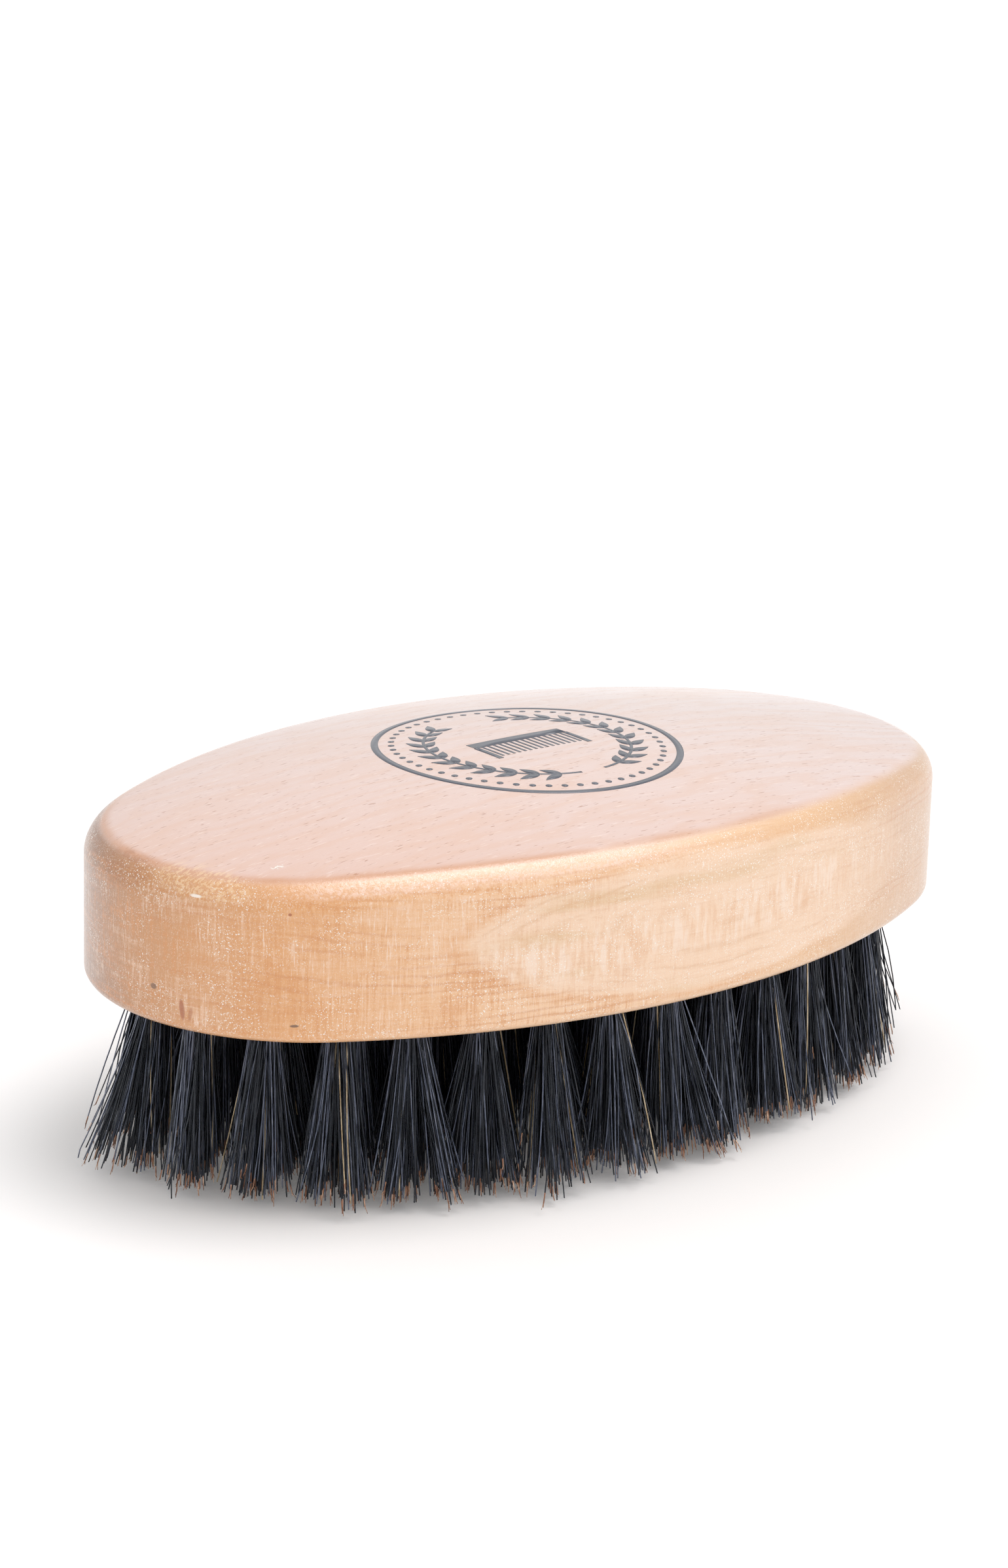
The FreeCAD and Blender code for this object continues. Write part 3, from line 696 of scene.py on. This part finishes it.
def make_back(seats):
    rings = back_rings()
    points = np.concatenate(rings + [[(0.0, 0.0, TOP)]])
    faces = ring_faces(len(rings), OUTLINE_POINTS)
    last, middle = (len(rings) - 1) * OUTLINE_POINTS, len(points) - 1
    faces += [(last + k, last + (k + 1) % OUTLINE_POINTS, middle) for k in range(OUTLINE_POINTS)]
    faces.append(tuple(reversed(range(OUTLINE_POINTS))))
    back = add_mesh("wood_back", points, faces, [wood_material()])
    drill(back, seats)
    place_piece(back, BACK)


# ---------------------------------------------------------------- the printed mark


def on_dome(plan, lift):
    plan = np.asarray(plan, float)
    return with_height(plan, dome_height(plan[:, 0], plan[:, 1]) + lift)


class Print:
    """Thin solids of ink lying on the dome."""

    def __init__(self):
        self.points = []
        self.faces = []

    def strip(self, left, right, closed=False):
        """Ink between the lines of points on the left and right of its way, as a closed solid."""
        count = len(left)
        start = len(self.points)
        for plan, lift in ((left, 1), (right, 1), (right, -1), (left, -1)):
            self.points.extend(on_dome(plan, lift * INK_THICKNESS).tolist())
        corner = [start + k * count for k in range(4)]
        for k in range(count if closed else count - 1):
            after = (k + 1) % count
            for one, other in ((0, 1), (1, 2), (2, 3), (3, 0)):
                self.faces.append(
                    (corner[one] + k, corner[other] + k, corner[other] + after, corner[one] + after)
                )
        if not closed:
            self.faces.append(tuple(corner))
            self.faces.append(tuple(first + count - 1 for first in reversed(corner)))

    def ring(self, radius, width, count=160):
        turn = np.arange(count) * 2 * math.pi / count
        way = np.column_stack([np.cos(turn), np.sin(turn)])
        self.strip(way * (radius - width / 2), way * (radius + width / 2), closed=True)

    def leaf(self, root, angle, length, width):
        """A pointed leaf from root, lying along angle."""
        half = width / 2 * np.sin(math.pi * ALONG_LEAF**0.8)
        self.band(root, angle, length, ALONG_LEAF, half)

    def bead(self, centre, radius):
        half = radius * np.sqrt(1 - (2 * ALONG_LEAF - 1) ** 2)
        self.band(np.asarray(centre) - (radius, 0), 0.0, 2 * radius, ALONG_LEAF, half)

    def bar(self, root, angle, length, width):
        self.band(root, angle, length, np.linspace(0, 1, 5), np.full(5, width / 2))

    def band(self, root, angle, length, share, half):
        way = np.array([math.cos(angle), math.sin(angle)])
        across = np.array([-way[1], way[0]])
        line = np.asarray(root) + np.outer(share * length, way)
        offset = np.outer(half, across)
        self.strip(line + offset, line - offset)

    def branch(self, side):
        """Half of a wreath: a stem and its pairs of leaves, on one side of the mark."""
        turn = np.radians(np.linspace(*STEM_ANGLES, 40))
        way = np.column_stack([side * np.cos(turn), np.sin(turn)])
        half = STEM_HALF_WIDTH * side
        self.strip(way * (WREATH_RADIUS - half), way * (WREATH_RADIUS + half))
        for degrees in LEAF_ANGLES:
            turn = math.radians(degrees)
            root = WREATH_RADIUS * np.array([side * math.cos(turn), math.sin(turn)])
            forward = turn + math.pi / 2
            for lean, length in LEAVES:
                angle = forward + lean
                if side < 0:
                    angle = math.pi - angle
                self.leaf(root, angle, length, LEAF_WIDTH)

    def comb(self):
        """A small comb in the middle, teeth down."""
        self.bar((-COMB_BACK_LENGTH / 2, COMB_BACK_HEIGHT), 0.0, COMB_BACK_LENGTH, COMB_BACK_WIDTH)
        last = COMB_TEETH - 1
        for k in range(COMB_TEETH):
            length, width = GUARD_TOOTH if k in (0, last) else INNER_TOOTH
            self.bar(((k - last / 2) * COMB_PITCH, TEETH_START), -math.pi / 2, length, width)


def make_mark():
    mark = Print()
    mark.ring(MARK_RADIUS - MARK_RING_WIDTH / 2, MARK_RING_WIDTH)
    for k in range(BEADS):
        turn = 2 * math.pi * k / BEADS
        mark.bead((BEAD_RING_RADIUS * math.cos(turn), BEAD_RING_RADIUS * math.sin(turn)), BEAD_RADIUS)
    mark.branch(1)
    mark.branch(-1)
    mark.comb()
    piece = add_mesh("printed_mark", mark.points, mark.faces, [ink_material()])
    place_piece(piece, BACK)


# ---------------------------------------------------------------- bristles


def ellipse_places(half_long, half_wide, count, phase):
    """Points of an ellipse, an equal arc length apart, and the outward direction at each."""
    turn = np.linspace(0, 2 * math.pi, 7201)
    steps = np.hypot(half_long * np.sin(turn), half_wide * np.cos(turn))
    lengths = np.concatenate([[0], np.cumsum((steps[1:] + steps[:-1]) / 2)])
    wanted = lengths[-1] * (np.arange(count) + phase) / count
    angle = np.interp(wanted, lengths, turn)
    places = np.column_stack([half_long * np.cos(angle), half_wide * np.sin(angle)])
    outward = np.column_stack([np.cos(angle) / half_long, np.sin(angle) / half_wide])
    return places, outward / np.linalg.norm(outward, axis=1, keepdims=True)


def all_tufts():
    """Every tuft: piece name, CAD node, place, outward direction, share of the lean, hairs."""
    tufts = []
    for index, (ring, count, phase, lean, hairs) in enumerate(TUFT_RINGS):
        inset = EDGE_INSET + index * RING_SPACING
        places, outward = ellipse_places(HALF_LONG - inset, HALF_WIDE - inset, count, phase)
        for n in range(count):
            node = f"tuft_outer_{n + 1:02d}" if ring == "outer" else f"tufts_{ring}"
            tufts.append((f"hairs_{ring}_{n + 1:02d}", node, places[n], outward[n], lean, hairs))
    row, count, pitch, hairs = CENTRE_ROW
    lengthways = np.array([1.0, 0.0])
    for n in range(count):
        place = (n - (count - 1) / 2) * pitch * lengthways
        tufts.append((f"hairs_{row}_{n + 1:02d}", f"tufts_{row}", place, lengthways, 0.0, hairs))
    return tufts


def disc(count, radius):
    """Random points, evenly spread over a disc."""
    reach = radius * np.sqrt(random.random(count))
    turn = random.random(count) * 2 * math.pi
    return np.column_stack([reach * np.cos(turn), reach * np.sin(turn)])


def tip_heights(count, reach, clump_of):
    """Heights of the hairs' tips: lowest in the middle of a clump, and a few hairs much shorter."""
    clump_height = random.gamma(1.6, 0.55, CLUMPS)[clump_of]
    height = LOWEST_TIP + random.uniform(0, TUFT_RISE) + CLUMP_RISE * clump_height
    height = height + CLUMP_RIM_RISE * reach + random.gamma(1.1, 0.42, count)
    short = random.random(count) < SHORT_SHARE
    height[short] += random.uniform(*SHORTENED, short.sum())
    return np.minimum(height, TALLEST_TIP)


def hair_lines(place, outward, lean, count):
    """Centre lines of a tuft's hairs, as an array of hairs x rings x 3."""
    root = disc(count, ROOT_SPREAD)
    clumps = disc(CLUMPS, ROOT_SPREAD * CLUMP_REACH)
    clump_of = np.argmin(np.linalg.norm(root[:, None] - clumps[None], axis=2), axis=1)
    flare = random.normal(FLARE, FLARE_CHANGE) + OUTER_FLARE * lean
    gather = random.uniform(*CLUMP_GATHER, CLUMPS)[clump_of][:, None]
    clump_drift = random.normal(0, CLUMP_DRIFT, (CLUMPS, 2))[clump_of]
    centre = clumps[clump_of]
    from_centre = root - centre
    spread_tip = (centre + from_centre * (1 - gather)) * (1 + flare) + clump_drift
    tuft_drift = random.normal(0, TUFT_DRIFT, 2)
    tuft_drift = tuft_drift + outward * lean * OUTER_LEAN * random.uniform(*LEAN_SHARES)
    loose = random.normal(0, HAIR_DRIFT, (count, 2))
    stray = random.random(count) < STRAY_SHARE
    loose[stray] += random.normal(0, STRAY_DRIFT, (stray.sum(), 2)) + outward * lean * STRAY_LEAN
    tip = spread_tip + tuft_drift + loose
    height = tip_heights(count, np.linalg.norm(from_centre, axis=1), clump_of)

    bow = random.normal(0, BOW, (count, 2))
    bow[stray] *= STRAY_BOW
    share = np.append(np.linspace(0, 0.95, HAIR_RINGS - 1), 1.0)
    z = ROOT_Z + np.outer(height - ROOT_Z, share)
    below = np.clip((UNDERSIDE - z) / UNDERSIDE, 0, 1)[:, :, None]
    plan = place + root[:, None] + (tip - root)[:, None] * below**1.1
    plan += bow[:, None] * np.sin(math.pi * below)
    plan += random.normal(0, WAVER, (count, 2))[:, None] * below**3
    reach = np.array([HALF_LONG, HALF_WIDE]) + SPREAD_PAST_BACK
    plan = np.clip(plan, -reach, reach)
    return np.concatenate([plan, z[:, :, None]], axis=2)


def tubes(lines, start_radius, end_radius):
    """Tapered tubes round centre lines that run downwards: points, faces and faces per tube."""
    count, rings, _ = lines.shape
    radius = np.linspace(start_radius, end_radius, rings)
    sides = np.arange(HAIR_SIDES)
    turn = random.random(count)[:, None] * 2 * math.pi + sides * 2 * math.pi / HAIR_SIDES
    corner = np.stack([np.cos(turn), np.sin(turn), np.zeros_like(turn)], axis=2)
    points = lines[:, :, None] + radius[None, :, None, None] * corner[:, None]
    block = [tuple(reversed(face)) for face in ring_faces(rings, HAIR_SIDES)]
    block.append(tuple(sides))
    block.append(tuple((rings - 1) * HAIR_SIDES + sides[::-1]))
    points_per_tube = rings * HAIR_SIDES
    faces = [
        tuple(int(first + corner) for corner in face)
        for first in range(0, count * points_per_tube, points_per_tube)
        for face in block
    ]
    return points.reshape(-1, 3), faces, len(block)


def split_ends(lines):
    """Two short, thin ends that part from the tip of each line."""
    direction = lines[:, -1] - lines[:, -2]
    direction /= np.linalg.norm(direction, axis=1, keepdims=True)
    ends = []
    for _ in range(2):
        part = random.normal(0, SPLIT_SPREAD, (len(lines), 3))
        length = random.uniform(*SPLIT_LENGTHS, len(lines))[:, None]
        start = lines[:, -1] - direction * SPLIT_OVERLAP
        stop = start + direction * length + part
        stop[:, 2] = np.clip(stop[:, 2], LOWEST_END, start[:, 2] - LEAST_DROP)
        ends.append(np.stack([start, stop], axis=1))
    return np.concatenate(ends)


def make_tuft(name, node, place, outward, lean, count, materials):
    lines = hair_lines(place, outward, lean, count)
    points, faces, per_hair = tubes(lines, HAIR_RADIUS, HAIR_RADIUS * HAIR_TAPER)
    kind = random.random(count)
    split_rows = np.nonzero(random.random(count) < SPLIT_SHARE)[0]
    material = np.full((count, per_hair), BLACK)
    material[kind > SHEEN_HAIR_FROM] = SHEEN_HAIR
    material[kind < PALE_BELOW] = PALE
    tip_faces = HAIR_SIDES * (HAIR_RINGS - 2)
    material[split_rows, tip_faces:] = SPLIT_TIP

    ends = split_ends(lines[split_rows])
    start_radius, end_radius = (HAIR_RADIUS * share for share in SPLIT_RADII)
    end_points, end_faces, per_end = tubes(ends, start_radius, end_radius)
    faces += [tuple(len(points) + corner for corner in face) for face in end_faces]
    material = np.concatenate([material.ravel(), np.full(len(ends) * per_end, SPLIT_TIP)])
    piece = add_mesh(name, np.concatenate([points, end_points]), faces, materials, material)
    place_piece(piece, node)


# ---------------------------------------------------------------- the room


def make_floor():
    s = Surface("studio_floor")
    cloud = s.noise((0.004, 0.004, 0.004), 2.0)
    colour = s.mix(cloud, srgb(243, 243, 244), srgb(247, 247, 247))
    glow = {"Emission Color": (1.0, 1.0, 1.0, 1.0), "Emission Strength": FLOOR_GLOW}
    material = s.finish(colour, cloud * 0.1 + 0.6, cloud, 0.01, **glow)
    side = FLOOR_HALF_SIDE
    corners = [(-side, -side), (side, -side), (side, side), (-side, side)]
    floor = add_mesh("studio_floor", with_height(corners, -FLOOR_GAP), [(0, 1, 2, 3)], [material])


def make_tent():
    """Even white light from all round, a little brighter where the camera sees it, to match the floor."""
    world = bpy.data.worlds.new("white_tent")
    world.use_nodes = True
    tree = world.node_tree
    background = tree.nodes["Background"]
    background.inputs["Color"].default_value = (1.0, 1.0, 1.0, 1.0)
    path = tree.nodes.new("ShaderNodeLightPath")
    strength = tree.nodes.new("ShaderNodeMapRange")
    strength.inputs["To Min"].default_value = TENT_LIGHT
    strength.inputs["To Max"].default_value = TENT_SEEN
    tree.links.new(path.outputs["Is Camera Ray"], strength.inputs["Value"])
    tree.links.new(strength.outputs["Result"], background.inputs["Strength"])
    bpy.context.scene.world = world


def make_key():
    sun = bpy.data.lights.new("soft_key", "SUN")
    sun.energy = KEY_STRENGTH
    sun.color = KEY_COLOUR
    sun.angle = math.radians(KEY_ANGLE)
    key = bpy.data.objects.new("soft_key", sun)
    key.rotation_euler = Vector(KEY_TOWARDS).to_track_quat("Z", "Y").to_euler()
    bpy.context.scene.collection.objects.link(key)


def rotation(axis, degrees):
    return Matrix.Rotation(math.radians(degrees), 3, axis)


def make_camera():
    """A camera 500 mm from the brush, turned and tilted as a hand-held shot is."""
    azimuth, elevation = math.radians(CAMERA_AZIMUTH), math.radians(CAMERA_ELEVATION)
    level = math.cos(elevation)
    back = Vector((-math.sin(azimuth) * level, -math.cos(azimuth) * level, math.sin(elevation)))
    right = (-back).cross(Vector((0, 0, 1))).normalized()
    up = right.cross(-back)
    turned = rotation("Z", CAMERA_ROLL) @ rotation("X", CAMERA_TILT) @ rotation("Y", CAMERA_PAN)
    turned = turned @ Matrix((right, up, -back))
    axes = Matrix((turned[0], turned[1], -turned[2])).transposed()

    camera_data = bpy.data.cameras.new("camera")
    camera_data.lens = CAMERA_LENS
    camera_data.sensor_width = SENSOR_WIDTH
    camera_data.clip_start = CLIP_START
    camera_data.clip_end = CLIP_END
    camera = bpy.data.objects.new("camera", camera_data)
    place = Vector(CAMERA_TARGET) + CAMERA_DISTANCE * back
    camera.matrix_world = Matrix.Translation(place) @ axes.to_4x4()
    bpy.context.scene.collection.objects.link(camera)
    bpy.context.scene.camera = camera


def dress_staples():
    """The staples are the CAD's own shapes, with a steel material."""
    steel = steel_material()
    for name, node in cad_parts.items():
        if name.startswith("staples_"):
            for slot in node.material_slots:
                slot.link = "OBJECT"
                slot.material = steel


def main():
    tufts = all_tufts()
    make_back([tuft[2] for tuft in tufts])
    make_mark()
    materials = bristle_materials()
    for tuft in tufts:
        make_tuft(*tuft, materials)
    dress_staples()
    make_floor()
    make_tent()
    make_key()
    make_camera()
    bpy.context.scene.view_settings.view_transform = "Standard"


main()
